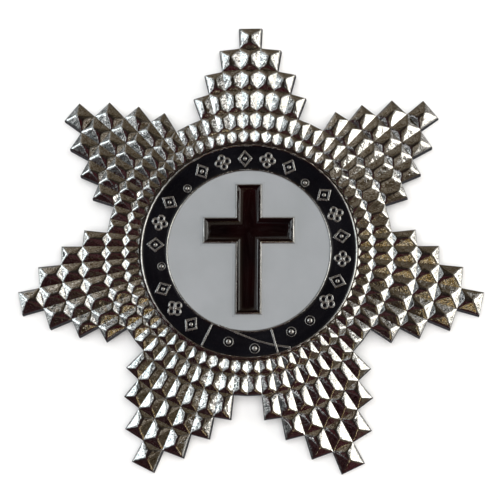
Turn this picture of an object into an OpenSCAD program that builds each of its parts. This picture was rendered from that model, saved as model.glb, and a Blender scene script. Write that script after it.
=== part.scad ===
// Breast jewel: a faceted seven-pointed star with an enamelled medallion and a
// brooch pin on its hollow back. It lies face up, its tips resting on z = 0.

/* [Star] */
// Radius from the star's centre to the corners of its tips
tip_r = 40; // [38:0.5:42]
// Number of points
points = 7; // [5:1:9]
// Height that the star's middle is raised above its tips
vault = 3; // [2.6:0.1:3.6]
// Thickness of the plate at the tips, under the cells
plate_t = 1.2; // [1:0.1:1.6]
// Height of a cell's high top above the plate, as a share of the cell's half width
outer_rise = 0.5; // [0.4:0.02:0.6]
// Height of a cell's lower top, nearer the star's middle, as a share of its half width
inner_rise = 0.36; // [0.3:0.02:0.44]
// Spread of the outer walls from top to bottom
wall_draft = 0.12; // [0:0.02:0.2]

/* [Medallion] */
// Radius of the star's flat seat under the medallion
seat_r = 18.45; // [18.45:0.05:19]
// Radius of the medallion
medal_r = 18.05; // [17.5:0.05:18.05]
// Shift of the medallion to the right of the star's middle, as it was soldered on
medal_x = 0.12; // [0:0.02:0.12]
// Shift of the medallion above the star's middle
medal_y = -0.32; // [-0.32:0.02:0]
// Radius of the white field
field_r = 13.5; // [12.6:0.1:13.6]
// Width of the polished rims
rim_w = 0.28; // [0.2:0.02:0.36]
// Height of the outer rim above the star's seat
rim_h = 1.7; // [1.5:0.1:2]
// Thickness of the medallion's floor
floor_t = 0.95; // [0.8:0.05:1.1]
// Depth of black enamel on the floor of the band
belt_t = 0.35; // [0.25:0.05:0.45]
// Depth of white enamel on the floor
field_t = 0.42; // [0.3:0.02:0.5]

/* [Cross] */
// Length of the upright arm, inside its rim
cross_h = 21.6; // [20:0.1:22]
// Length of the cross arm, inside its rim
cross_w = 14.6; // [13:0.1:15]
// Width of both arms, inside their rim
arm_w = 3.7; // [3.2:0.05:3.8]
// Height of the cross's middle above the medallion's centre
cross_y = 0; // [-0.2:0.05:0.2]
// Height of the cross arm's axis above the cross's middle
arm_y = 3.2; // [2.5:0.05:3.6]
// Height of the cross's rim above the medallion's floor
cross_rim_h = 1.05; // [0.9:0.05:1.1]
// Width of the sloping side of that rim
cross_slope = 0.6; // [0.4:0.05:0.7]
// Height of the cross enamel above the medallion's floor
cross_t = 0.85; // [0.7:0.05:0.9]

/* [Brooch pin] */
// Height of the pin above the star's centre, as worn
pin_y = 7.5; // [6:0.5:8]
// Length of the bar
bar_l = 30; // [28:1:30]
// Width of the bar
bar_w = 4.2; // [3.6:0.2:4.6]
// Radius of the wire
wire_r = 0.4; // [0.35:0.05:0.45]

/* [Hidden] */

SILVER = [0.78, 0.78, 0.8];
BLACK = [0.03, 0.03, 0.05];
WHITE = [0.86, 0.87, 0.86];
DARK_RED = [0.14, 0.03, 0.04];
STEEL = [0.62, 0.62, 0.64];

// Gap that is left between pieces that are cemented or soldered together
gap = 0.03;

// Cells on each side of a point's axis, for each ring of cells from the middle out
cells_beside = [4, 4, 3, 2, 1, 0];
// Outer radius of each ring of cells, as a share of the tip radius
ring_share = [0.5225, 0.606, 0.7075, 0.8, 0.9025, 1];
ring_r = concat([seat_r], [for (s = ring_share) s * tip_r]);
rings = len(ring_r);
rows = len(cells_beside);
columns = points * (2 * cells_beside[0] + 1);
step = 360 / columns;

// Length of a cell's end facets, as a share of its half width, for each ring of cells
outer_hip = [0.88, 0.88, 0.88, 0.88, 0.88, 0.84];
inner_hip = [0.56, 0.56, 0.56, 0.56, 0.56, 0.5];
back_t = 1.1;

function ray_angle(i) = 90 + (i - 0.5) * step;
function top_z(r) = plate_t + vault * (1 - pow(r / tip_r, 2));
seat_z = top_z(ring_r[0]);
hollow_z = seat_z - back_t;
last_ring = ring_r[rings - 2];
function under_z(r) = r <= ring_r[0] ? hollow_z : max(0, vault * (1 - pow(r / last_ring, 2)));
function polar(r, a, z) = [r * cos(a), r * sin(a), z];

// A column's distance from its point's axis, in cells, and whether a row has that column
function beside(c) = let (n = 2 * cells_beside[0] + 1) (c + columns + cells_beside[0]) % n - cells_beside[0];
function has(row, c) = row >= 0 && row < rows && abs(beside(c)) <= cells_beside[row] ? 1 : 0;

// Which way the foot of a wall spreads at a corner: 1 or -1 across the rays, or 0
function spread(ring, i) =
    has(ring, i) + has(ring, i - 1) == 1 ? has(ring, i - 1) - has(ring, i)
    : has(ring - 1, i - 1) - has(ring - 1, i);
function on_edge(ring, i) = ring > 0 && has(ring, i) + has(ring, i - 1) < 2;
function foot(ring, i) =
    let (
        d = on_edge(ring, i) ? wall_draft : 0,
        r = ring_r[ring] + d,
        a = ray_angle(i) + d / r * 180 / PI * (on_edge(ring, i) ? spread(ring, i) : 0)
    )
    polar(r, a, under_z(ring_r[ring]));

// The two tops of a cell: a high one near its outer edge and a lower one near its inner edge
function half_width(row) = (ring_r[row] + ring_r[row + 1]) / 2 * sin(step / 2);
function cell_top(row, c, r, rise) = polar(r, 90 + c * step, top_z(r) + half_width(row) * rise);
function inner_top(row, c) = cell_top(row, c, ring_r[row] + inner_hip[row] * half_width(row), inner_rise);
function outer_top(row, c) = cell_top(row, c, ring_r[row + 1] - outer_hip[row] * half_width(row), outer_rise);

// Highest and lowest tip corner, which place the star's centre in Y
tip_foot_y = [for (i = [0 : columns - 1]) if (on_edge(rings - 1, i) && has(rows - 1, i) + has(rows - 1, i - 1) > 0)
    foot(rings - 1, i)[1]];
centre_y = -(max(tip_foot_y) + min(tip_foot_y)) / 2;

// Numbers of the star's corners: top grid, underside grid, the cells' lower and high tops
function top(ring, i) = ring * columns + (i + columns) % columns;
function under(ring, i) = (rings + ring) * columns + (i + columns) % columns;
function low_top_no(row, c) = (2 * rings + row) * columns + c;
function high_top_no(row, c) = (2 * rings + rows + row) * columns + c;

star_corners = concat(
    [for (k = [0 : rings - 1]) for (i = [0 : columns - 1]) polar(ring_r[k], ray_angle(i), top_z(ring_r[k]))],
    [for (k = [0 : rings - 1]) for (i = [0 : columns - 1]) foot(k, i)],
    [for (k = [0 : rows - 1]) for (c = [0 : columns - 1]) inner_top(k, c)],
    [for (k = [0 : rows - 1]) for (c = [0 : columns - 1]) outer_top(k, c)]
);

function cell_faces(k, c) =
    let (
        a = top(k, c), b = top(k, c + 1), d = top(k + 1, c), e = top(k + 1, c + 1),
        p = low_top_no(k, c), q = high_top_no(k, c)
    )
    [[a, q, d], [d, q, e], [e, q, b], [b, q, p], [a, p, q], [b, p, a]];
function under_faces(k, c) =
    let (a = under(k, c), b = under(k, c + 1), d = under(k + 1, c), e = under(k + 1, c + 1))
    [[a, d, e], [a, e, b]];
function wall(t1, u1, t2, u2) = [[u1, t1, t2], [u1, t2, u2]];
function wall_faces(k, c) = concat(
    has(k + 1, c) == 1 ? [] : wall(top(k + 1, c), under(k + 1, c), top(k + 1, c + 1), under(k + 1, c + 1)),
    has(k, c - 1) == 1 ? [] : wall(top(k, c), under(k, c), top(k + 1, c), under(k + 1, c)),
    has(k, c + 1) == 1 ? [] : wall(top(k + 1, c + 1), under(k + 1, c + 1), top(k, c + 1), under(k, c + 1))
);

star_faces = concat(
    [[for (i = [columns - 1 : -1 : 0]) top(0, i)]],
    [[for (i = [0 : columns - 1]) under(0, i)]],
    [for (k = [0 : rows - 1]) for (c = [0 : columns - 1]) if (has(k, c) == 1)
        for (f = concat(cell_faces(k, c), under_faces(k, c), wall_faces(k, c))) f]
);

module star() {
    color(SILVER) translate([0, centre_y, 0]) polyhedron(points = star_corners, faces = star_faces, convexity = 10);
}

// Heights in the medallion, measured from the surface that the tips rest on
medal_z = seat_z + gap;
floor_z = medal_z + floor_t;
enamel_z = floor_z + gap;
belt_z = enamel_z + belt_t;
rim_z = medal_z + rim_h;
inner_rim_z = rim_z - 0.1;
chamfer = 0.07;

// Corners of the cross, grown all round by d
function cross_corners(d) =
    let (a = arm_w / 2 + d, h = cross_h / 2 + d, w = cross_w / 2 + d, lo = arm_y - a, hi = arm_y + a)
    [[-a, -h], [a, -h], [a, lo], [w, lo], [w, hi], [a, hi], [a, h], [-a, h], [-a, hi], [-w, hi], [-w, lo], [-a, lo]];

// The cross's rim has a straight foot in the enamel and a slope from there to its top
foot_w = 0.2 + cross_slope;
shoulder_z = enamel_z + field_t;
cross_top_z = floor_z + cross_rim_h;

// A bar with sloping sides, l long
module sloped_bar(half, l) {
    rotate([90, 0, 0]) linear_extrude(l, center = true) polygon([
        [-half, floor_z - 0.1], [half, floor_z - 0.1], [half, shoulder_z],
        [half - cross_slope, cross_top_z], [cross_slope - half, cross_top_z], [-half, shoulder_z]
    ]);
}

// An arm that slopes on all four sides
module sloped_arm(half_x, half_y) {
    intersection() {
        sloped_bar(half_x, 2 * half_y + 1);
        rotate([0, 0, 90]) sloped_bar(half_y, 2 * half_x + 1);
    }
}

module cross_rim() {
    difference() {
        union() {
            sloped_arm(arm_w / 2 + foot_w, cross_h / 2 + foot_w);
            translate([0, arm_y, 0]) sloped_arm(cross_w / 2 + foot_w, arm_w / 2 + foot_w);
        }
        translate([0, 0, floor_z - 1]) linear_extrude(cross_rim_h + 2) polygon(cross_corners(0));
    }
}

// A ring with its two upper edges taken off
module rim(r_in, r_out, z0, z1) {
    rotate_extrude($fn = 180) polygon([
        [r_in, z0], [r_out, z0], [r_out, z1 - chamfer], [r_out - chamfer, z1],
        [r_in + chamfer, z1], [r_in, z1 - chamfer]
    ]);
}

module medallion() {
    color(SILVER) translate([medal_x, centre_y + medal_y, 0]) {
        translate([0, 0, medal_z]) cylinder(r = medal_r, h = floor_t, $fn = 180);
        rim(medal_r - rim_w, medal_r, floor_z - 0.1, rim_z);
        rim(field_r, field_r + rim_w, floor_z - 0.1, inner_rim_z);
        translate([0, cross_y, 0]) cross_rim();
    }
}

// The band and its ornament
belt_in = field_r + rim_w + gap;
belt_out = medal_r - rim_w - gap;
motif_r = belt_in + 0.46 * (belt_out - belt_in);
stop_r = belt_in + 0.95;
relief_h = 0.25;
line_w = 0.32;

// Places round the band, clockwise from the top, in steps of one motif
motif_step = 14.04;
first_motif = -143;
motif_count = 20;
stops = [3, 7, 13];
function is_stop(i) = len([for (s = stops) if (s == i) s]) > 0;

module on_band(angle, r) {
    rotate([0, 0, -angle]) translate([0, r, 0]) children();
}

// A low round bead on the band
module bead(r, h) {
    ball_r = (r * r + h * h) / (2 * h);
    intersection() {
        translate([0, 0, belt_z + h - ball_r]) sphere(r = ball_r, $fn = 48);
        translate([0, 0, belt_z - 0.1]) cylinder(r = r, h = h + 0.2, $fn = 32);
    }
}

// Outline of a lozenge, half sizes a and b, with a bead in it
module lozenge(a = 1.25, b = 1.5) {
    diagonal = sqrt(a * a + b * b);
    ai = a - line_w * diagonal / b;
    bi = b - line_w * diagonal / a;
    translate([0, 0, belt_z - 0.1]) linear_extrude(relief_h + 0.1) difference() {
        polygon([[-a, 0], [0, -b], [a, 0], [0, b]]);
        polygon([[-ai, 0], [0, -bi], [ai, 0], [0, bi]]);
    }
    bead(0.34, 0.24);
}

// Four open petals round a bead
module flower(petal_r = 0.66, reach = 0.74) {
    translate([0, 0, belt_z - 0.1]) linear_extrude(relief_h + 0.1) difference() {
        for (a = [0 : 90 : 270]) rotate(a) translate([reach, 0]) circle(r = petal_r, $fn = 24);
        for (a = [0 : 90 : 270]) rotate(a) translate([reach, 0]) circle(r = petal_r - line_w, $fn = 24);
    }
    bead(0.34, 0.26);
}

// A bead in a thin ring
module ringed_bead(r, ring) {
    bead(r, r * 0.7);
    translate([0, 0, belt_z - 0.1]) linear_extrude(0.22) difference() {
        circle(r = ring, $fn = 32);
        circle(r = ring - 0.14, $fn = 32);
    }
}

// The strap end: a tongue that crosses the band between two keeper bars
tongue_z = belt_z + 0.16;
left_bar = -154.5;
right_bar = 164;
tongue_edge = [[-4.8, -12.3], [-1.4, -14.05], [1.5, -15.15], [4.2, -15.85], [7.2, -16.4]];
tongue_foot = [[7.2, -19], [-9, -19], [-8.4, -17.3], [-5.6, -11.8]];
tongue_studs = [[-3.2, -15.3], [1.1, -16.4]];
strap_studs = [[7.1, -13.65], [10.15, -11.8]];
stud_r = 0.5;

module keeper_bar(angle) {
    intersection() {
        rotate([0, 0, -angle]) translate([-line_w / 2, belt_in, belt_z - 0.1])
            cube([line_w, belt_out - belt_in, 0.1 + 0.3]);
        cylinder(r = belt_out, h = 20, $fn = 180);
    }
}

module strap_end() {
    translate([0, 0, belt_z - 0.1]) linear_extrude(tongue_z - belt_z + 0.1) intersection() {
        difference() {
            circle(r = belt_out, $fn = 180);
            circle(r = belt_in, $fn = 180);
        }
        polygon(concat(tongue_edge, tongue_foot));
    }
    keeper_bar(left_bar);
    keeper_bar(right_bar);
    for (s = tongue_studs) translate([s[0], s[1], tongue_z - belt_z]) ringed_bead(stud_r, 0.92);
    for (s = strap_studs) translate([s[0], s[1], 0]) ringed_bead(stud_r, 0.92);
}

module belt_enamel() {
    color(BLACK) translate([medal_x, centre_y + medal_y, 0]) {
        translate([0, 0, enamel_z]) difference() {
            cylinder(r = belt_out, h = belt_t, $fn = 180);
            translate([0, 0, -1]) cylinder(r = belt_in, h = belt_t + 2, $fn = 180);
        }
        for (i = [0 : motif_count - 1]) {
            angle = first_motif + i * motif_step;
            if (is_stop(i)) on_band(angle, stop_r) ringed_bead(0.36, 0.72);
            else if (i % 2 == 0) on_band(angle, motif_r) lozenge();
            else on_band(angle, motif_r) flower();
        }
        strap_end();
    }
}

module field_enamel() {
    color(WHITE) translate([medal_x, centre_y + medal_y, enamel_z]) difference() {
        cylinder(r = field_r - gap, h = field_t, $fn = 180);
        translate([0, cross_y, -1]) linear_extrude(field_t + 2) polygon(cross_corners(foot_w + gap));
    }
}

module cross_enamel() {
    color(DARK_RED) translate([medal_x, centre_y + medal_y + cross_y, enamel_z])
        linear_extrude(cross_t - gap) polygon(cross_corners(-gap));
}

// The brooch pin, under the hollow back
bar_t = 0.45;
bar_z = hollow_z - gap - bar_t;
wire_gap = 0.45;
wire_z = bar_z - wire_gap - wire_r;
hinge_x = bar_l / 2 - 2.2;
knuckle_r = 0.8;
point_l = 1.8;
catch_l = 2.2;

module along_x(r1, r2, l) {
    rotate([0, 90, 0]) cylinder(r1 = r1, r2 = r2, h = l, $fn = 32);
}

module brooch_pin() {
    color(STEEL) translate([0, centre_y + pin_y, 0]) {
        translate([-bar_l / 2, -bar_w / 2, bar_z]) cube([bar_l, bar_w, bar_t]);
        // Hinge knuckle and its cheek
        translate([hinge_x, 0, wire_z]) rotate([90, 0, 0]) cylinder(r = knuckle_r, h = 3, center = true, $fn = 32);
        translate([hinge_x - knuckle_r, -1.5, wire_z]) cube([2 * knuckle_r, 3, bar_z - wire_z + 0.1]);
        // Wire, ending in a point past the catch
        translate([-hinge_x, 0, wire_z]) along_x(wire_r, wire_r, 2 * hinge_x);
        translate([-hinge_x - point_l, 0, wire_z]) along_x(0.1, wire_r, point_l);
        // Catch: a hook that is open to one side
        translate([-hinge_x, 0, wire_z]) difference() {
            union() {
                along_x(knuckle_r, knuckle_r, catch_l);
                translate([0, -knuckle_r, 0]) cube([catch_l, 2 * knuckle_r, bar_z - wire_z + 0.1]);
            }
            translate([-1, -2, -0.25]) cube([catch_l + 2, 2, 0.5]);
        }
    }
}

star();
medallion();
belt_enamel();
field_enamel();
cross_enamel();
brooch_pin();
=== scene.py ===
# %% [markdown]
# # A breast jewel, dressed for its portrait
# The jewel is a seven-pointed star of bright plated metal with an enamelled medallion
# in the middle. The construction model already has every size, so this lesson loads it
# as a fixed frame and models each piece again with its rounded edges, its relief and
# its finish. Lengths below are in millimetres until mm turns them into metres. Places
# closer than tiny count as the same, and neighbouring pieces lie gap apart.

import math

import bmesh
import bpy
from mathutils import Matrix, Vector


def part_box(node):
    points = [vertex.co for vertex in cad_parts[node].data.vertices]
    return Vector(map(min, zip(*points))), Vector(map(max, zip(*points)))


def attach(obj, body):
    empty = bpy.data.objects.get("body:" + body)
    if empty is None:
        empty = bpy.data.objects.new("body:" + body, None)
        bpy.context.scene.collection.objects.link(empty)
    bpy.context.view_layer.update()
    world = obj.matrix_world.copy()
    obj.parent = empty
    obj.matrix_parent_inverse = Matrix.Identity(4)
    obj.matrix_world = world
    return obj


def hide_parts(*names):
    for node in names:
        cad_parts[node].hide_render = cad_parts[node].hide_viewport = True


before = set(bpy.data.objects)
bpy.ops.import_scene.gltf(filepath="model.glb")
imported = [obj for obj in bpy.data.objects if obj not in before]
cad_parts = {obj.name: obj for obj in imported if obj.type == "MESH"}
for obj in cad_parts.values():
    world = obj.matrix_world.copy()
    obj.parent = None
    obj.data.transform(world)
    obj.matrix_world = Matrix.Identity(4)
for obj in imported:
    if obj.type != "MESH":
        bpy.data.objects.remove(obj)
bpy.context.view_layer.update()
mm = 0.001
tiny = 0.01
gap = 0.03

# %% [markdown]
# ## Where the middle is
# The frame's origin is under the centre of the whole box. The star's own middle lies
# lower in the picture, because one of the seven points is at the top and two share the
# bottom. Everything is modelled about the middle of the star, as a maker would work on
# a turntable, and is moved into its place at the end. The medallion was soldered on by
# hand and sits a third of a millimetre low.

# %% Find the middle of the star
medal_shift = (0.12, -0.32)
medal_low, medal_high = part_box("medallion")
centre_y = (medal_low.y + medal_high.y) / 2 - medal_shift[1] * mm
print("the star's middle is at y =", round(centre_y / mm, 3), "mm")

# %% [markdown]
# ## The camera
# The jewel lies on a table, and the camera looks down on it from a little in front and
# to the right, close enough for the near points to look larger. A long lens from
# further off would look flatter. The place and the lens were worked out from the
# corners of the star, so that they fall on the same spots of a square picture.

# %% Make the camera
camera_x, camera_y, camera_z = 8.625, -30.79, 179.971
camera_turn = (9.87, 2.64, 0.38)
camera_data = bpy.data.cameras.new("camera")
camera = bpy.data.objects.new("camera", camera_data)
bpy.context.scene.collection.objects.link(camera)
bpy.context.scene.camera = camera
camera_data.sensor_width = 36
camera_data.lens = 76.97
camera_data.clip_start = 0.01
camera_data.clip_end = 10
camera.rotation_euler = [math.radians(a) for a in camera_turn]
camera.location = (camera_x * mm, centre_y + camera_y * mm, camera_z * mm)
print("camera height above the floor:", round(camera.location.z, 3), "m")

# %% [markdown]
# ## Small helpers for working in edit mode
# A person at the screen clicks on corners, edges and faces. Here they are chosen by
# their place or by the way they face, which is what pick does. The other helpers start
# a new shape with nothing else selected, move, resize or extrude what is picked, and
# leave edit mode. A new shape is always begun in edge mode, because a bare circle has
# no faces that could be selected.

# %% Start and finish a shape
def start(add, **values):
    bpy.ops.object.select_all(action="DESELECT")
    add(**values)
    bpy.ops.object.mode_set(mode="EDIT")
    bpy.ops.mesh.select_mode(type="EDGE")
    bpy.ops.mesh.select_all(action="SELECT")
    return bpy.context.object


def edit(shape):
    bpy.ops.object.select_all(action="DESELECT")
    shape.select_set(True)
    bpy.context.view_layer.objects.active = shape
    bpy.ops.object.mode_set(mode="EDIT")
    bpy.ops.mesh.select_all(action="SELECT")


def leave():
    bpy.ops.object.mode_set(mode="OBJECT")


# %% Pick corners, edges or faces, and move them
def pick(kind, test):
    bpy.ops.mesh.select_mode(type=kind)
    bpy.ops.mesh.select_all(action="DESELECT")
    work = bmesh.from_edit_mesh(bpy.context.object.data)
    picked = 0
    for part in {"VERT": work.verts, "EDGE": work.edges, "FACE": work.faces}[kind]:
        if kind == "VERT":
            place, facing = part.co, part.normal
        elif kind == "EDGE":
            place = (part.verts[0].co + part.verts[1].co) / 2
            facing = part.verts[1].co - part.verts[0].co
        else:
            place, facing = part.calc_center_median(), part.normal
        if test(place / mm, facing):
            part.select_set(True)
            picked += 1
    bmesh.update_edit_mesh(bpy.context.object.data)
    return picked


def move(x=0, y=0, z=0):
    bpy.ops.transform.translate(value=(x * mm, y * mm, z * mm))


def scale(x=1, y=1, z=1):
    bpy.ops.transform.resize(value=(x, y, z), center_override=(0, 0, 0))


def extrude_by(x=0, y=0, z=0):
    bpy.ops.mesh.extrude_region_move(TRANSFORM_OT_translate={"value": (x * mm, y * mm, z * mm)})


# %% Join shapes, and repeat a shape round the middle
def joined(shapes, name):
    bpy.ops.object.select_all(action="DESELECT")
    for shape in shapes:
        shape.select_set(True)
    bpy.context.view_layer.objects.active = shapes[0]
    bpy.ops.object.join()
    whole = bpy.context.object
    whole.name = name
    whole.data.name = name
    return whole


def repeated_round(shape, turn, count):
    bpy.ops.object.select_all(action="DESELECT")
    bpy.ops.object.empty_add(rotation=(0, 0, turn))
    pivot = bpy.context.object
    bpy.context.view_layer.objects.active = shape
    row = shape.modifiers.new("row", "ARRAY")
    row.count = count
    row.use_relative_offset = False
    row.use_object_offset = True
    row.offset_object = pivot
    bpy.ops.object.modifier_apply(modifier=row.name)
    bpy.data.objects.remove(pivot)
    return shape


# %% [markdown]
# ## The star
# The real star is one casting. Its face is cut into rows of small hipped roofs, like
# tiles round a tower, and each row is shorter than the one inside it, which makes the
# stepped points. Modelling 238 roofs one by one would be slow. One roof is shaped for
# each of the six rows instead, and is repeated across one point and then round all
# seven.

# %% Sizes of the star
tip_r = 40
points = 7
vault = 3
plate_t = 1.2
wall_spread = 0.12
beside = [4, 4, 3, 2, 1, 0]
ring_r = [18.45, 20.9, 24.24, 28.3, 32, 36.1, tip_r]
pad_r = ring_r[-2]
outer_hip = [0.88] * 5 + [0.84]
inner_hip = [0.56] * 5 + [0.5]
outer_rise, inner_rise = 0.5, 0.36
columns = points * 9
step = 2 * math.pi / columns


def top_z(r):
    return plate_t + vault * (1 - (r / tip_r) ** 2)


seat_z = top_z(ring_r[0])
hollow_z = seat_z - 1.1


def under_z(r):
    return hollow_z if r <= ring_r[0] else max(0, vault * (1 - (r / pad_r) ** 2))


print("columns:", columns, "- height of the medallion's seat:", round(seat_z, 3), "mm")

# %% [markdown]
# A tile starts as a flat square. It is resized to the cell's outer width, tapered
# towards the middle of the star, and its two ends are lifted to the height that the
# vaulted plate has there.

# %% One flat tile of a row
def tile(row, height):
    near, far = ring_r[row], ring_r[row + 1]
    middle = (near + far) / 2 * math.cos(step / 2)
    start(bpy.ops.mesh.primitive_plane_add, size=2 * mm)
    scale(far * math.sin(step / 2), (far - near) / 2 * math.cos(step / 2))
    move(y=middle)
    pick("VERT", lambda p, n: p.y < middle)
    scale(x=near / far)
    move(z=height(near))
    pick("VERT", lambda p, n: p.y > middle)
    move(z=height(far))
    return bpy.context.object


# %% [markdown]
# The tile becomes a roof by an inset. Each end of the inner face is squeezed to a
# point: the outer one becomes the high top and the inner one a lower second top. Two
# cuts from the high top to the inner corners make the long slim slopes between them.

# %% Raise a tile into a roof
def half_width(r):
    return r * math.sin(step / 2)


def set_top(row, inner, r, height):
    near, far = ring_r[row], ring_r[row + 1]
    middle = (near + far) / 2
    margin = 0.3
    pick("VERT", lambda p, n: near + margin < p.y < far - margin and (p.y < middle) == inner)
    scale(x=0)
    now = bmesh.from_edit_mesh(bpy.context.object.data)
    at = next(v.co.copy() for v in now.verts if v.select) / mm
    move(y=r - at.y, z=height - at.z)


def roof(row):
    near, far = ring_r[row], ring_r[row + 1]
    half = half_width((near + far) / 2)
    inner_r, outer_r = near + inner_hip[row] * half, far - outer_hip[row] * half
    tile(row, top_z)
    bpy.ops.mesh.select_all(action="SELECT")
    bpy.ops.mesh.inset(thickness=half / 2 * mm)
    set_top(row, True, inner_r, top_z(inner_r) + inner_rise * half)
    set_top(row, False, outer_r, top_z(outer_r) + outer_rise * half)
    bpy.ops.mesh.select_all(action="SELECT")
    bpy.ops.mesh.remove_doubles(threshold=tiny * mm)
    for side in (-1, 1):
        pick("VERT", lambda p, n: abs(p.y - outer_r) < tiny or (p.y < near + tiny and p.x * side > 0))
        bpy.ops.mesh.vert_connect()
    leave()
    return bpy.context.object


# %% Repeat the tiles across a point and round the star
def whole_sheet(make, name):
    rows = []
    for row in range(len(beside)):
        piece = make(row)
        edit(piece)
        first_turn = beside[row] * step
        bpy.ops.transform.rotate(value=first_turn, orient_axis="Z", center_override=(0, 0, 0))
        leave()
        repeated_round(piece, step, 2 * beside[row] + 1)
        rows.append(repeated_round(piece, 2 * math.pi / points, points))
    sheet = joined(rows, name)
    edit(sheet)
    bpy.ops.mesh.remove_doubles(threshold=tiny * mm)
    leave()
    print(name, "has", len(sheet.data.polygons), "faces and", len(sheet.data.vertices), "corners")
    return sheet


star = whole_sheet(roof, "star_casting")

# %% [markdown]
# ## The star's sides and its hollow back
# The sheet of roofs needs a thickness. The hole in its middle is closed, its outline is
# extruded down and flattened onto the table, and this foot is pushed outwards a little,
# because a casting has to leave its mould. Then the foot is lifted to the heights of
# the hollow, and only the pads under the seven tips stay on the table. The back is a
# second sheet, of plain tiles turned face down, bridged to the foot.

# %% Pick the free edges of a sheet
def keep_edges(test):
    work = bmesh.from_edit_mesh(bpy.context.object.data)
    for e in work.edges:
        if e.select and not test((e.verts[0].co + e.verts[1].co) / 2 / mm):
            e.select_set(False)
    bmesh.update_edit_mesh(bpy.context.object.data)
    return sum(e.select for e in work.edges)


def pick_border(test):
    bpy.ops.mesh.select_mode(type="EDGE")
    bpy.ops.mesh.select_all(action="DESELECT")
    bpy.ops.mesh.select_non_manifold(
        use_wire=False, use_multi_face=False, use_non_contiguous=False, use_verts=False
    )
    return keep_edges(lambda p: test(math.hypot(p.x, p.y)))


def anywhere(place):
    return True


# %% Pull the sides down
ring_margin = 0.5
far_down = 8


def round_hole(r):
    return r < ring_r[0] + ring_margin


edit(star)
pick_border(round_hole)
bpy.ops.mesh.edge_face_add()
print("edges round the outline:", pick_border(anywhere))
extrude_by(z=-far_down)
scale(z=0)
bpy.ops.transform.shrink_fatten(value=wall_spread * mm, use_even_offset=True)
for r in ring_r[1:]:
    pick("VERT", lambda p, n: abs(p.z) < tiny and abs(math.hypot(p.x, p.y) - r) < ring_margin)
    move(z=under_z(r))
leave()

# %% Add the hollow back
def back_tile(row):
    tile(row, under_z)
    bpy.ops.mesh.select_all(action="SELECT")
    bpy.ops.mesh.flip_normals()
    leave()
    return bpy.context.object


back = whole_sheet(back_tile, "star_back")
edit(back)
pick_border(round_hole)
bpy.ops.mesh.edge_face_add()
leave()
star = joined([star, back], "star_casting")
edit(star)
print("edges to bridge:", pick_border(anywhere))
bpy.ops.mesh.bridge_edge_loops()
print("edges of the foot:", keep_edges(anywhere))
bpy.ops.transform.edge_crease(value=1)
bpy.ops.mesh.select_all(action="SELECT")
bpy.ops.mesh.normals_make_consistent(inside=False)
print("open edges left:", pick_border(anywhere))
leave()

# %% [markdown]
# Real roofs are not all alike: each was polished by hand, so its ridge sits a hair off
# its place, and it mirrors a slightly different bit of the room. The tops are shifted
# at random by a few hundredths of a millimetre.
#
# The edges are soft as well. A bevel on all of them would make tangles where eight
# ridges and valleys meet. Subdivision with creases rounds them and keeps the facets
# flat in between: a weak crease makes the ridges and the outline soft, a stronger one
# firms the hips, and a full one keeps the valleys crisp. It also cuts up the flat seat
# under the medallion and the flat middle of the back, which are then made one face each.

# %% Vary the roofs a little and soften their edges
ridge_crease = 0.4
hip_crease = 0.7
outline_crease = 0.4
wander = 0.05
hidden_r = 17.5


def rise_at(p):
    r = math.hypot(p.x, p.y)
    return (p.z - top_z(r)) / half_width(r)


def off_back(p):
    return p.z > under_z(math.hypot(p.x, p.y)) + 0.3


def below_top(p):
    return top_z(math.hypot(p.x, p.y)) - p.z > 0.2


edit(star)
top_rise = 0.6 * outer_rise
pick("VERT", lambda p, n: rise_at(p) > 0.2)
bpy.ops.transform.vertex_random(offset=wander * mm, seed=7)
print("soft ridges:", pick("EDGE", lambda p, n: rise_at(p) > top_rise))
bpy.ops.transform.edge_crease(value=ridge_crease)
print("hips:", pick("EDGE", lambda p, n: 0.12 < rise_at(p) < top_rise))
bpy.ops.transform.edge_crease(value=hip_crease)
print("crisp valleys:", pick("EDGE", lambda p, n: abs(rise_at(p)) < 0.12))
bpy.ops.transform.edge_crease(value=1)
print("wall corners:", pick("EDGE", lambda p, n: below_top(p) and off_back(p)))
bpy.ops.transform.edge_crease(value=1)
pick("FACE", lambda p, n: abs(n.normalized().z) < 0.5 and math.hypot(p.x, p.y) > 20)
bpy.ops.mesh.region_to_loop()
bpy.ops.transform.edge_crease(value=1)
print("outline edges:", keep_edges(off_back))
bpy.ops.transform.edge_crease(value=outline_crease - 1)
leave()
soft = star.modifiers.new("soft", "SUBSURF")
soft.levels = 3
soft.render_levels = 3
bpy.ops.object.modifier_apply(modifier=soft.name)
edit(star)
flat = pick("FACE", lambda p, n: math.hypot(p.x, p.y) < hidden_r and abs(n.z) > 0.98)
print("small flat faces dissolved:", flat)
bpy.ops.mesh.dissolve_faces()
leave()
print("the star has", sum(len(p.vertices) - 2 for p in star.data.polygons), "triangles")

# %% [markdown]
# A finished shape is moved to its place in the frame, its object is left at the
# origin, it is hung under the root, and the construction model's part that it stands for is hidden.

# %% Finish a piece
def finish_piece(piece, node, material, angle=30, shift=(0, 0)):
    bpy.ops.object.select_all(action="DESELECT")
    piece.select_set(True)
    bpy.context.view_layer.objects.active = piece
    piece.location = (shift[0] * mm, centre_y + shift[1] * mm, 0)
    bpy.ops.object.transform_apply(location=True, rotation=True, scale=True)
    bpy.ops.object.shade_smooth_by_angle(angle=math.radians(angle))
    piece.data.materials.clear()
    piece.data.materials.append(material)
    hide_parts(node)
    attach(piece, "root")


# %% [markdown]
# ## Bright plating
# Polished plating has almost no colour of its own: it shows the room. A metal surface
# with a low roughness does that. Fine marks from handling vary the roughness, and an
# unevenness in the polish bends the reflections. The thin relief on the band is duller,
# and not quite all metal, so that its lines stay grey against the black.

# %% Make the plating
def new_material(name):
    material = bpy.data.materials.new(name)
    material.use_nodes = True
    tree = material.node_tree
    return material, tree.nodes, tree.links, tree.nodes["Principled BSDF"]


marks_scale = 900


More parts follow.
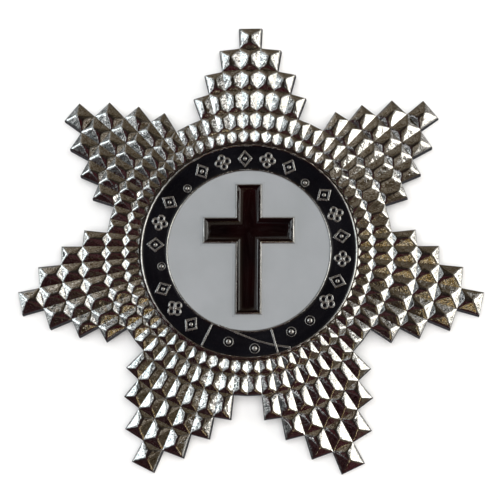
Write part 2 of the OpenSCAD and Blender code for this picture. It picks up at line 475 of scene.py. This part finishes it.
def metal(name, smoothest, dullest, unevenness):
    material, nodes, links, shader = new_material(name)
    shader.inputs["Metallic"].default_value = 1
    where = nodes.new("ShaderNodeTexCoord")
    marks = nodes.new("ShaderNodeTexNoise")
    marks.inputs["Scale"].default_value = marks_scale
    marks.inputs["Detail"].default_value = 4
    dullness = nodes.new("ShaderNodeMapRange")
    dullness.inputs["From Min"].default_value = 0.35
    dullness.inputs["From Max"].default_value = 0.7
    dullness.inputs["To Min"].default_value = smoothest
    dullness.inputs["To Max"].default_value = dullest
    tone = nodes.new("ShaderNodeValToRGB")
    tone.color_ramp.elements[0].position = 0.3
    tone.color_ramp.elements[0].color = (0.74, 0.73, 0.71, 1)
    tone.color_ramp.elements[1].position = 0.6
    tone.color_ramp.elements[1].color = (0.82, 0.81, 0.79, 1)
    wobble = nodes.new("ShaderNodeTexNoise")
    wobble.inputs["Scale"].default_value = marks_scale
    wobble.inputs["Detail"].default_value = 2
    uneven = nodes.new("ShaderNodeBump")
    uneven.inputs["Strength"].default_value = 1
    uneven.inputs["Distance"].default_value = unevenness * mm
    for noise in (marks, wobble):
        links.new(where.outputs["Object"], noise.inputs["Vector"])
    links.new(marks.outputs["Fac"], dullness.inputs["Value"])
    links.new(marks.outputs["Fac"], tone.inputs["Fac"])
    links.new(wobble.outputs["Fac"], uneven.inputs["Height"])
    links.new(dullness.outputs["Result"], shader.inputs["Roughness"])
    links.new(tone.outputs["Color"], shader.inputs["Base Color"])
    links.new(uneven.outputs["Normal"], shader.inputs["Normal"])
    return material


plating = metal("bright_plating", smoothest=0.02, dullest=0.06, unevenness=0.08)
relief_metal = metal("relief_plating", smoothest=0.2, dullest=0.32, unevenness=0.01)
relief_metal.node_tree.nodes["Principled BSDF"].inputs["Metallic"].default_value = 0.94
finish_piece(star, "star", plating, angle=32)

# %% [markdown]
# ## The medallion's plate
# The plate in the middle is a round casting with a thin rim outside, a slightly lower
# one inside, and a raised border shaped like a cross. A ring is easiest to turn: a
# circle is extruded from one point of the profile to the next and resized to its
# radius, as if a potter pulled it up.

# %% Heights in the medallion
medal_r, field_r, rim_w = 18.05, 13.5, 0.28
medal_z = seat_z + gap
floor_z = medal_z + 0.95
enamel_z = floor_z + gap
belt_z = enamel_z + 0.35
field_z = enamel_z + 0.42
rim_z = medal_z + 1.7
inner_rim_z = rim_z - 0.1
print("the rim's height is", round(rim_z, 3), "mm, and the node's is", round(medal_high.z / mm, 3), "mm")

# %% Turn a profile
def turned(profile, segments=192, close=False):
    r, z = profile[0]
    start(bpy.ops.mesh.primitive_circle_add, radius=r * mm, vertices=segments)
    move(z=z)
    for next_r, next_z in profile[1:]:
        extrude_by(z=next_z - z)
        scale(next_r / r, next_r / r)
        r, z = next_r, next_z
    bpy.ops.mesh.select_all(action="SELECT")
    if close:
        bpy.ops.mesh.remove_doubles(threshold=tiny * mm)
        bpy.ops.mesh.select_all(action="SELECT")
    else:
        for ring in (profile[0], profile[-1]):
            pick_border(lambda at: abs(at - ring[0]) < 2 * tiny)
            bpy.ops.mesh.edge_face_add()
        bpy.ops.mesh.select_all(action="SELECT")
    bpy.ops.mesh.normals_make_consistent(inside=False)
    return bpy.context.object


# %% Turn the plate
def round_top(outer, top):
    drop = (0.16, 0.05, 0, 0.05, 0.16)
    return [(outer - i * rim_w / 4, top - d) for i, d in enumerate(drop)]


plate = turned(
    [(medal_r - 0.1, medal_z), (medal_r, medal_z + 0.1)]
    + round_top(medal_r, rim_z)
    + [(medal_r - rim_w, floor_z), (field_r + rim_w, floor_z)]
    + round_top(field_r + rim_w, inner_rim_z)
    + [(field_r, floor_z)]
)
leave()
print("the plate has", len(plate.data.polygons), "faces")

# %% [markdown]
# ## The border of the cross
# A cross is a square with four arms: the square is added first, and its four edges are
# extruded to the ends of the arms. The same sheet serves for the border, for the hole
# in the white enamel and for the dark enamel, each grown or shrunk a little. The
# border's outer slope is steep, so that it mirrors the white enamel beside it.

# %% Lay out a cross
cross_h, cross_w, arm_w = 21.3, 14.6, 3.75
cross_y, arm_y = 0.15, 3.1
foot_w, slope_w, slope_rise = 0.5, 0.35, 0.66


def cross_sheet(grow, z):
    half = arm_w / 2 + grow
    start(bpy.ops.mesh.primitive_plane_add, size=2 * mm)
    scale(half, half)
    move(y=arm_y, z=z)
    reach_x, reach_y = cross_w / 2 + grow, cross_h / 2 + grow
    for x, y in ((reach_x, 0), (-reach_x, 0), (0, reach_y), (0, -reach_y)):
        edge_x = math.copysign(half, x) if x else 0
        edge_y = arm_y + math.copysign(half, y) if y else arm_y
        pick("EDGE", lambda p, n: abs(p.x - edge_x) < tiny and abs(p.y - edge_y) < tiny)
        extrude_by(x - edge_x, y - edge_y if y else 0)
    bpy.ops.mesh.select_all(action="SELECT")
    bpy.ops.mesh.normals_make_consistent(inside=False)
    if bmesh.from_edit_mesh(bpy.context.object.data).faces[:][0].normal.z < 0:
        bpy.ops.mesh.flip_normals()
    return bpy.context.object


# %% Raise the border
border_h, sunk, crest_w = 1.05, 0.05, 0.13
border = cross_sheet(foot_w, floor_z - sunk)
extrude_by(z=border_h - slope_rise + sunk)
bpy.ops.mesh.inset(thickness=slope_w * mm)
move(z=slope_rise)
bpy.ops.mesh.inset(thickness=crest_w * mm)
extrude_by(z=-border_h - sunk)
bpy.ops.mesh.delete(type="FACE")
print("edges of the crest:", pick("EDGE", lambda p, n: abs(p.z - floor_z - border_h) < tiny))
bpy.ops.mesh.bevel(offset=0.04 * mm, segments=2, affect="EDGES")
bpy.ops.mesh.select_all(action="SELECT")
move(y=cross_y)
leave()
plate = joined([plate, border], "medallion_plate")
finish_piece(plate, "medallion", plating, angle=40, shift=medal_shift)

# %% [markdown]
# ## The enamels
# Enamel is melted glass. It creeps up whatever holds it, so its surface is a shallow
# dish with a curved edge, and that curve carries the bright lines along the rims. The
# discs are turned with such a curve. The white disc gets its cross-shaped hole from a
# Boolean modifier, and a collar of white creeps up the border. The dark cross is dished
# by a few insets.

# %% Mix the enamels
def enamel(name, colour, other, roughness):
    glass, nodes, links, shader = new_material(name)
    where = nodes.new("ShaderNodeTexCoord")
    cloud = nodes.new("ShaderNodeTexNoise")
    cloud.inputs["Scale"].default_value = 160
    cloud.inputs["Detail"].default_value = 5
    links.new(where.outputs["Object"], cloud.inputs["Vector"])
    tint = nodes.new("ShaderNodeValToRGB")
    tint.color_ramp.elements[0].position = 0.35
    tint.color_ramp.elements[0].color = (*colour, 1)
    tint.color_ramp.elements[1].position = 0.7
    tint.color_ramp.elements[1].color = (*other, 1)
    links.new(cloud.outputs["Fac"], tint.inputs["Fac"])
    links.new(tint.outputs["Color"], shader.inputs["Base Color"])
    ripple = nodes.new("ShaderNodeBump")
    ripple.inputs["Strength"].default_value = 0.3
    ripple.inputs["Distance"].default_value = 0.06 * mm
    links.new(cloud.outputs["Fac"], ripple.inputs["Height"])
    links.new(ripple.outputs["Normal"], shader.inputs["Normal"])
    shader.inputs["Roughness"].default_value = roughness
    shader.inputs["Coat Weight"].default_value = 1
    shader.inputs["Coat Roughness"].default_value = 0.04
    return glass


black_glass = enamel("black_enamel", (0.002, 0.002, 0.003), (0.005, 0.005, 0.007), roughness=0.15)
white_glass = enamel("white_enamel", (0.3, 0.316, 0.328), (0.33, 0.343, 0.36), roughness=0.22)
red_glass = enamel("dark_red_enamel", (0.0015, 0.0006, 0.0008), (0.006, 0.0008, 0.001), roughness=0.08)

# %% Pour the black band
belt_in, belt_out = field_r + rim_w + gap, medal_r - rim_w - gap
band_profile = [
    (belt_in, enamel_z), (belt_in, belt_z + 0.08), (belt_in + 0.12, belt_z + 0.03),
    (belt_in + 0.35, belt_z), (belt_out - 0.35, belt_z),
    (belt_out - 0.12, belt_z + 0.03), (belt_out, belt_z + 0.08), (belt_out, enamel_z),
    (belt_in, enamel_z),
]
black_band = turned(band_profile, close=True)
leave()
black_band.name = "black_band"
finish_piece(black_band, "belt_enamel", black_glass, angle=50, shift=medal_shift)

# %% Pour the white disc and cut out the cross
edge_r = field_r - gap
white_disc = turned([
    (edge_r, enamel_z), (edge_r, field_z + 0.1), (edge_r - 0.1, field_z + 0.05),
    (edge_r - 0.25, field_z + 0.02), (edge_r - 0.5, field_z),
    (6, field_z - 0.02), (0.5, field_z - 0.02),
])
leave()
cutter = cross_sheet(foot_w + gap, enamel_z - 0.5)
extrude_by(z=1.5)
bpy.ops.mesh.select_all(action="SELECT")
bpy.ops.mesh.normals_make_consistent(inside=False)
move(y=cross_y)
pick_border(anywhere)
bpy.ops.mesh.edge_face_add()
leave()
bpy.context.view_layer.objects.active = white_disc
cut = white_disc.modifiers.new("cut", "BOOLEAN")
cut.object = cutter
bpy.ops.object.modifier_apply(modifier=cut.name)
bpy.data.objects.remove(cutter)

# %% Let the white creep up the border
collar = cross_sheet(foot_w + 0.4, field_z - 0.06)
for width, rise in ((0.15, 0.07), (0.15, 0.09), (0.2, 0.08)):
    bpy.ops.mesh.inset(thickness=width * mm)
    move(z=rise)
bpy.ops.mesh.delete(type="FACE")
bpy.ops.mesh.select_all(action="SELECT")
move(y=cross_y)
leave()
white_disc = joined([white_disc, collar], "white_disc")
print("the white disc has", len(white_disc.data.polygons), "faces")
finish_piece(white_disc, "field_enamel", white_glass, angle=50, shift=medal_shift)

# %% Pour the dark cross
dark_cross = cross_sheet(-gap, enamel_z)
extrude_by(z=floor_z + 0.95 - enamel_z)
for width, drop in ((0.22, 0.24), (0.25, 0.22), (0.3, 0.17), (0.3, 0.08)):
    bpy.ops.mesh.inset(thickness=width * mm)
    move(z=-drop)
bpy.ops.mesh.select_all(action="SELECT")
move(y=cross_y)
pick_border(anywhere)
bpy.ops.mesh.edge_face_add()
leave()
dark_cross.name = "dark_cross"
finish_piece(dark_cross, "cross_enamel", red_glass, angle=50, shift=medal_shift)

# %% [markdown]
# ## The relief on the band
# Raised lines of the metal plate stand through the black enamel all round the band. A
# plain ornament of lozenges and four-petalled flowers fills it, with ringed beads as
# stops between, and at the foot the strap's end crosses it between two keeper bars.
# Each motif is modelled once, at the top of the band, and copied to its places.

# %% One rounded line, one ring and one bead
root_z = belt_z - 0.1
relief_z = belt_z + 0.22
line_w = 0.32


def rounded_ring(r, width, top):
    return turned([
        (r, root_z), (r, top - 0.1), (r - 0.06, top - 0.02), (r - width / 2, top),
        (r - width + 0.06, top - 0.02), (r - width, top - 0.1),
        (r - width, root_z), (r, root_z),
    ], segments=20, close=True)


def bead(r, rise):
    return turned([
        (r, root_z), (r, belt_z + 0.3 * rise),
        (r * 0.75, belt_z + 0.75 * rise), (r * 0.35, belt_z + rise),
    ], segments=16)


# %% Model the flower, the lozenge and the stop
motif_r = belt_in + 0.46 * (belt_out - belt_in)
stop_r = belt_in + 0.95
petal_r, petal_off = 0.66, 0.74


def model_flower():
    parts = []
    for x, y in ((1, 0), (0, 1), (-1, 0), (0, -1)):
        petal = rounded_ring(petal_r, line_w, relief_z)
        leave()
        petal.location = (x * petal_off * mm, y * petal_off * mm, 0)
        parts.append(petal)
    middle = bead(0.34, 0.26)
    leave()
    flower = joined([middle, *parts], "flower")
    flower.location.y += motif_r * mm
    bpy.ops.object.transform_apply()
    return flower


def model_lozenge():
    start(bpy.ops.mesh.primitive_circle_add, radius=mm, vertices=4, fill_type="NGON")
    scale(1.25, 1.5)
    move(z=root_z)
    extrude_by(z=relief_z - root_z)
    bpy.ops.mesh.inset(thickness=0.3 * mm)
    extrude_by(z=-0.3)
    pick("EDGE", lambda p, n: abs(p.z - relief_z) < tiny)
    bpy.ops.mesh.bevel(offset=0.07 * mm, segments=2, affect="EDGES")
    leave()
    outline = bpy.context.object
    middle = bead(0.34, 0.24)
    leave()
    lozenge = joined([middle, outline], "lozenge")
    lozenge.location.y += motif_r * mm
    bpy.ops.object.transform_apply()
    return lozenge


def model_stop(r, hoop_r):
    knob = bead(r, r * 0.7)
    leave()
    hoop = rounded_ring(hoop_r, 0.16, belt_z + 0.2)
    leave()
    return joined([knob, hoop], "stop")


# %% Copy them round the band
def placed(shape, angle):
    bpy.ops.object.select_all(action="DESELECT")
    shape.select_set(True)
    bpy.context.view_layer.objects.active = shape
    bpy.ops.object.duplicate()
    copy = bpy.context.object
    copy.rotation_euler.z = -math.radians(angle)
    bpy.ops.object.transform_apply()
    return copy


flower, lozenge, stop = model_flower(), model_lozenge(), model_stop(r=0.36, hoop_r=0.72)
stop.location.y = stop_r * mm
bpy.ops.object.transform_apply()
relief = []
first_angle, angle_step = -143, 14.04
for i in range(20):
    motif = stop if i in (3, 7, 13) else lozenge if i % 2 == 0 else flower
    relief.append(placed(motif, first_angle + i * angle_step))
for pattern in (flower, lozenge, stop):
    bpy.data.objects.remove(pattern)
print("motifs on the band:", len(relief))

# %% [markdown]
# The strap's end is a tongue whose raised edge crosses the band in a slow curve. Its
# edge is a row of corners joined by extruding, then thickened. It starts from a plane
# merged to one corner, which only corner mode can select. The keeper bars are short
# rounded bars across the band, and larger ringed studs lie between and beside them.

# %% Model the strap's end and its bars
def bar(angle):
    start(bpy.ops.mesh.primitive_cube_add, size=mm)
    scale(line_w, belt_out - belt_in, 0.45)
    move(y=(belt_in + belt_out) / 2, z=belt_z + 0.1)
    bpy.ops.mesh.bevel(offset=0.1 * mm, segments=3, affect="EDGES")
    leave()
    shape = bpy.context.object
    made = placed(shape, angle)
    bpy.data.objects.remove(shape)
    return made


def line_along(corners, width, top):
    x, y = corners[0]
    half_h = 0.15
    start(bpy.ops.mesh.primitive_plane_add, size=mm)
    bpy.ops.mesh.merge(type="CENTER")
    bpy.ops.mesh.select_mode(type="VERT")
    bpy.ops.mesh.select_all(action="SELECT")
    move(x, y, top - half_h)
    for next_x, next_y in corners[1:]:
        extrude_by(next_x - x, next_y - y)
        x, y = next_x, next_y
    leave()
    line = bpy.context.object
    line.modifiers.new("thick", "SKIN")
    for corner in line.data.skin_vertices[0].data:
        corner.radius = (width / 2 * mm, half_h * mm)
    bpy.ops.object.modifier_apply(modifier="thick")
    round_off = line.modifiers.new("round", "SUBSURF")
    round_off.levels = 2
    bpy.ops.object.modifier_apply(modifier="round")
    return line


tongue_edge = [(-5, -12.6), (-3.3, -13.2), (-1.4, -14.05), (1.5, -15.15), (4.2, -15.85), (7, -16.2)]
relief += [bar(-154.5), bar(164), line_along(tongue_edge, 0.36, belt_z + 0.3)]
for x, y in ((-3.2, -15.3), (1.1, -16.4), (7.1, -13.65), (10.15, -11.8)):
    stud = model_stop(r=0.44, hoop_r=0.86)
    stud.location = (x * mm, y * mm, 0)
    bpy.ops.object.transform_apply()
    relief.append(stud)
relief = joined(relief, "band_relief")
print("the relief has", sum(len(p.vertices) - 2 for p in relief.data.polygons), "triangles")
finish_piece(relief, "belt_enamel", relief_metal, angle=50, shift=medal_shift)

# %% [markdown]
# ## The brooch pin
# Behind the upper half sits a bar with a hinge, a wire and a catch. None of it shows
# from the front, so it is modelled after the usual pin of such a jewel: a bar with
# rounded corners, a knuckle, a wire that tapers to a point, and a rolled hook.

# %% Model the pin
bar_t, wire_r, under_bar = 0.45, 0.4, 0.45
bar_z = hollow_z - gap - bar_t
wire_z = bar_z - under_bar - wire_r
hinge_x = 12.8
pin_y = 7.5


def model_bar():
    start(bpy.ops.mesh.primitive_cube_add, size=mm)
    scale(30, 4.2, bar_t)
    move(z=bar_z + bar_t / 2)
    pick("EDGE", lambda p, n: abs(n.z) > tiny * mm)
    bpy.ops.mesh.bevel(offset=1.2 * mm, segments=6, affect="EDGES")
    pick("FACE", lambda p, n: abs(n.z) > 0.9)
    bpy.ops.mesh.region_to_loop()
    bpy.ops.mesh.bevel(offset=0.06 * mm, segments=2, affect="EDGES")
    leave()
    return bpy.context.object


def lathe_along_x(profile, segments=32):
    shape = turned(profile, segments=segments)
    bpy.ops.transform.rotate(value=-math.pi / 2, orient_axis="Y", center_override=(0, 0, 0))
    move(z=wire_z)
    leave()
    return shape


def box_block(x0, x1, y0, y1, z0, z1, edge):
    start(bpy.ops.mesh.primitive_cube_add, size=mm)
    scale(x1 - x0, y1 - y0, z1 - z0)
    move((x0 + x1) / 2, (y0 + y1) / 2, (z0 + z1) / 2)
    bpy.ops.mesh.bevel(offset=edge * mm, segments=2, affect="EDGES")
    leave()
    return bpy.context.object


wire = lathe_along_x([
    (wire_r, hinge_x), (wire_r, -hinge_x), (0.34, -hinge_x - 0.5),
    (0.22, -hinge_x - 1.2), (0.1, -hinge_x - 1.8),
])
ends = wire.data.vertices[0], wire.data.vertices[-1]
print("wire reaches from", [round(v.co.x / mm, 1) for v in ends])
knuckle = turned([(0.72, -1.5), (0.8, -1.42), (0.8, 1.42), (0.72, 1.5)], segments=32)
bpy.ops.transform.rotate(value=math.pi / 2, orient_axis="X", center_override=(0, 0, 0))
move(hinge_x, 0, wire_z)
leave()
cheek = box_block(hinge_x - 0.8, hinge_x + 0.8, -1.5, 1.5, wire_z + 0.1, bar_z + 0.1, 0.1)
hook = lathe_along_x([
    (0.72, -hinge_x), (0.8, -hinge_x + 0.08), (0.8, -hinge_x + 2.12), (0.72, -hinge_x + 2.2),
])
post = box_block(-hinge_x, -hinge_x + 2.2, -0.75, 0.75, wire_z + 0.3, bar_z + 0.1, 0.08)
pin = joined([model_bar(), wire, knuckle, cheek, hook, post], "brooch_pin_wire")

# %% Make the drawn steel
steel, nodes, links, shader = new_material("drawn_wire")
shader.inputs["Metallic"].default_value = 1
shader.inputs["Base Color"].default_value = (0.6, 0.6, 0.6, 1)
where = nodes.new("ShaderNodeTexCoord")
stretch = nodes.new("ShaderNodeMapping")
stretch.inputs["Scale"].default_value = (0.05, 1, 1)
drawn = nodes.new("ShaderNodeTexNoise")
drawn.inputs["Scale"].default_value = 6000
grain = nodes.new("ShaderNodeMapRange")
grain.inputs["To Min"].default_value = 0.2
grain.inputs["To Max"].default_value = 0.42
links.new(where.outputs["Object"], stretch.inputs["Vector"])
links.new(stretch.outputs["Vector"], drawn.inputs["Vector"])
links.new(drawn.outputs["Fac"], grain.inputs["Value"])
links.new(grain.outputs["Result"], shader.inputs["Roughness"])
finish_piece(pin, "brooch_pin", steel, angle=40, shift=(0, pin_y))

# %% [markdown]
# ## The room that the metal mirrors
# A mirror shows what is round it, so the room matters more here than on any painted
# thing. The jewel was lit by two wide soft lights low at its sides, a warm one to the
# right and a cool one to the left, in a dark brown room. Lamps alone would give hard
# edges and black metal. The room is painted round the horizon instead, in five bands
# from table level up to the dark ceiling. Each stop is a direction in degrees, counted
# counter-clockwise from the right, a tone and its strength.

# %% Mix the tones of the room
warm = (2, 1.95, 1.8)
cool = (1.75, 1.92, 2)
umber = (0.1, 0.08, 0.054)
night = (0.023, 0.008, 0.009)
zenith = (0.018, 0.011, 0.009)
below = (0.05, 0.05, 0.055)
gold = (1.5, 1.12, 0.45)

# %% Paint the bands round the horizon
table_level = [
    (-180, cool, 0.65), (-172, cool, 0.21), (-160, cool, 0.07), (-145, night, 1),
    (-80, night, 1.5), (-58, night, 2.5), (-45, umber, 0.8), (-28, warm, 0.21),
    (-14, warm, 0.35), (-3, warm, 0.75), (10, warm, 0.39), (28, warm, 0.28),
    (40, warm, 0.2), (55, umber, 0.8), (105, umber, 1.1), (128, cool, 0.14),
    (145, cool, 0.07), (168, cool, 0.24), (180, cool, 0.65),
]
low_lights = [
    (-180, cool, 0.85), (-173, cool, 0.24), (-162, cool, 0.08), (-150, night, 1),
    (-95, night, 1), (-62, night, 2), (-50, umber, 0.8), (-40, umber, 0.9),
    (-30, warm, 0.14), (-20, warm, 0.65), (-14, warm, 0.9), (37, warm, 0.9),
    (44, warm, 0.2), (55, warm, 0.13), (61, umber, 0.8), (85, umber, 1.1),
    (105, umber, 1.2), (115, umber, 1.6), (126, umber, 2.2), (135, cool, 0.2),
    (143, cool, 0.7), (152, cool, 0.9), (180, cool, 0.9),
]
eye_level = [
    (-180, cool, 0.24), (-172, cool, 0.14), (-160, cool, 0.04), (-150, night, 1.2),
    (-105, night, 1), (-90, umber, 0.4), (-78, umber, 0.5), (-66, umber, 0.8),
    (-54, umber, 0.6), (-42, umber, 0.5), (-34, umber, 1.2), (-26, warm, 0.24),
    (-18, warm, 0.7), (-10, warm, 1), (14, warm, 0.9), (30, warm, 0.6), (38, warm, 0.28),
    (45, warm, 0.14), (55, umber, 1.4), (70, umber, 0.8), (85, umber, 0.9),
    (105, umber, 1.3), (120, umber, 1.8), (132, cool, 0.11), (145, cool, 0.1),
    (155, cool, 0.1), (165, cool, 0.18), (174, cool, 0.6), (180, cool, 0.24),
]
under_ceiling = [
    (-180, night, 3), (-166, cool, 0.28), (-158, cool, 0.13), (-148, cool, 0.04),
    (-130, night, 2), (-105, umber, 0.4), (-75, umber, 0.6), (-60, umber, 0.8),
    (-48, umber, 1), (-36, umber, 1.8), (-25, umber, 2), (-10, warm, 0.1), (5, warm, 0.24),
    (14, warm, 0.6), (28, warm, 0.35), (37, warm, 0.24), (46, umber, 1), (65, umber, 0.35),
    (95, umber, 0.4), (118, umber, 0.9), (135, cool, 0.07), (145, cool, 0.17),
    (154, cool, 0.35), (164, cool, 0.39), (172, cool, 0.21), (180, night, 3),
]
ceiling = [
    (-180, night, 2), (-65, night, 2), (-48, umber, 0.8), (-36, umber, 1.5),
    (-20, umber, 1.8), (-10, umber, 1), (10, umber, 0.6), (22, warm, 0.08),
    (34, warm, 0.07), (44, umber, 0.4), (60, umber, 0.25), (140, umber, 0.25),
    (180, night, 2),
]

# %% Start the room's material
world = bpy.data.worlds.new("room")
bpy.context.scene.world = world
world.use_nodes = True
nodes, links = world.node_tree.nodes, world.node_tree.links
backdrop = nodes["Background"]
direction = nodes.new("ShaderNodeTexCoord")
parts = nodes.new("ShaderNodeSeparateXYZ")
links.new(direction.outputs["Generated"], parts.inputs["Vector"])
turn = nodes.new("ShaderNodeMath")
turn.operation = "ARCTAN2"
links.new(parts.outputs["Y"], turn.inputs[0])
links.new(parts.outputs["X"], turn.inputs[1])
compass = nodes.new("ShaderNodeMapRange")
compass.inputs["From Min"].default_value = -math.pi
compass.inputs["From Max"].default_value = math.pi
links.new(turn.outputs["Value"], compass.inputs["Value"])


def band(stops):
    node = nodes.new("ShaderNodeValToRGB")
    ramp = node.color_ramp
    while len(ramp.elements) < len(stops):
        ramp.elements.new(0.5)
    for element, (degrees, tone_of_stop, strength) in zip(ramp.elements, stops):
        element.position = (degrees + 180) / 360
        element.color = (*(strength * c for c in tone_of_stop), 1)
    links.new(compass.outputs["Result"], node.inputs["Fac"])
    return node.outputs["Color"]


def mixed(low, high, share):
    mix = nodes.new("ShaderNodeMix")
    mix.data_type = "RGBA"
    links.new(share, mix.inputs["Factor"])
    for value, socket in ((low, mix.inputs[6]), (high, mix.inputs[7])):
        if isinstance(value, tuple):
            socket.default_value = (*value, 1)
        else:
            links.new(value, socket)
    return mix.outputs[2]


def blended(low, high, z_from, z_to):
    share = nodes.new("ShaderNodeMapRange")
    share.interpolation_type = "SMOOTHSTEP"
    share.inputs["From Min"].default_value = z_from
    share.inputs["From Max"].default_value = z_to
    links.new(parts.outputs["Z"], share.inputs["Value"])
    return mixed(low, high, share.outputs["Result"])


# %% Stack the bands
lower_room = blended(band(table_level), band(low_lights), 0.2, 0.34)
upper_room = blended(band(eye_level), band(under_ceiling), 0.68, 0.75)
sides = blended(lower_room, upper_room, 0.5, 0.6)
with_floor = blended(below, sides, -0.7, -0.3)
overhead = blended(band(ceiling), zenith, 0.92, 0.97)
whole_room = blended(with_floor, overhead, 0.79, 0.85)

# %% [markdown]
# No light is even. A fine broken pattern is added wherever the room is bright, and the
# slightly uneven facets show it as streaks and specks. In front and a little to the
# right something golden with a broken pattern stands in the room: it gives the right
# point its warm glints.

# %% Make the room uneven
def noise_share(size, low, high, out_low=0, out_high=1):
    patches = nodes.new("ShaderNodeTexNoise")
    patches.inputs["Scale"].default_value = size
    patches.inputs["Detail"].default_value = 3
    patches.inputs["Roughness"].default_value = 0.6
    links.new(direction.outputs["Generated"], patches.inputs["Vector"])
    share = nodes.new("ShaderNodeMapRange")
    share.inputs["From Min"].default_value = low
    share.inputs["From Max"].default_value = high
    share.inputs["To Min"].default_value = out_low
    share.inputs["To Max"].default_value = out_high
    links.new(patches.outputs["Fac"], share.inputs["Value"])
    return share.outputs["Result"]


gold_sector = band([
    (-180, gold, 0), (-92, gold, 0), (-84, gold, 1), (-66, gold, 1), (-56, gold, 0), (180, gold, 0),
])
nothing = (0, 0, 0)
glints = mixed(nothing, gold_sector, noise_share(50, low=0.53, high=0.6))
above_lights = blended(nothing, glints, 0.5, 0.58)
added = nodes.new("ShaderNodeVectorMath")
links.new(blended(above_lights, nothing, 0.7, 0.84), added.inputs[0])
links.new(whole_room, added.inputs[1])
brightness = nodes.new("ShaderNodeMapRange")
brightness.inputs["From Min"].default_value = 0.06
brightness.inputs["From Max"].default_value = 0.5
brightness.inputs["To Min"].default_value = 0.02
links.new(added.outputs["Vector"], brightness.inputs["Value"])
streaks = nodes.new("ShaderNodeMath")
streaks.operation = "MULTIPLY"
links.new(noise_share(22, low=0.3, high=0.7, out_low=-2.3, out_high=2.3), streaks.inputs[0])
links.new(brightness.outputs["Result"], streaks.inputs[1])
streaked = nodes.new("ShaderNodeVectorMath")
links.new(added.outputs["Vector"], streaked.inputs[0])
links.new(streaks.outputs["Value"], streaked.inputs[1])
uneven_room = nodes.new("ShaderNodeVectorMath")
uneven_room.operation = "MAXIMUM"
links.new(streaked.outputs["Vector"], uneven_room.inputs[0])
uneven_room.inputs[1].default_value = (0.003, 0.002, 0.002)

# %% [markdown]
# The camera itself should see a plain pale backdrop beyond the floor, so rays that
# come straight from the camera get that in place of the painted room.

# %% Show the camera a plain backdrop
path = nodes.new("ShaderNodeLightPath")
seen = nodes.new("ShaderNodeMix")
seen.data_type = "RGBA"
links.new(path.outputs["Is Camera Ray"], seen.inputs["Factor"])
links.new(uneven_room.outputs["Vector"], seen.inputs[6])
seen.inputs[7].default_value = (0.9, 0.9, 0.9, 1)
links.new(seen.outputs[2], backdrop.inputs["Color"])

# %% [markdown]
# ## Table and soft overhead light
# The table is a plain pale sheet. A large soft lamp overhead lights it and the
# enamels. Both are kept out of reflections, because the metal should mirror the painted
# room, and the polished ridges its dark ceiling.

# %% Lay the table
start(bpy.ops.mesh.primitive_plane_add, size=3)
leave()
table = bpy.context.object
table.name = "table"
table.visible_glossy = False
pale, nodes, links, shader = new_material("pale_table")
shader.inputs["Base Color"].default_value = (0.95, 0.95, 0.95, 1)
shader.inputs["Roughness"].default_value = 0.9
shader.inputs["Specular IOR Level"].default_value = 0
table.data.materials.append(pale)

# %% Hang the soft light
bpy.ops.object.light_add(type="AREA", location=(0, 0, 0.5))
lamp = bpy.context.object
lamp.data.size = 0.6
lamp.data.energy = 3.2
lamp.visible_glossy = False
bpy.context.scene.view_settings.view_transform = "Standard"
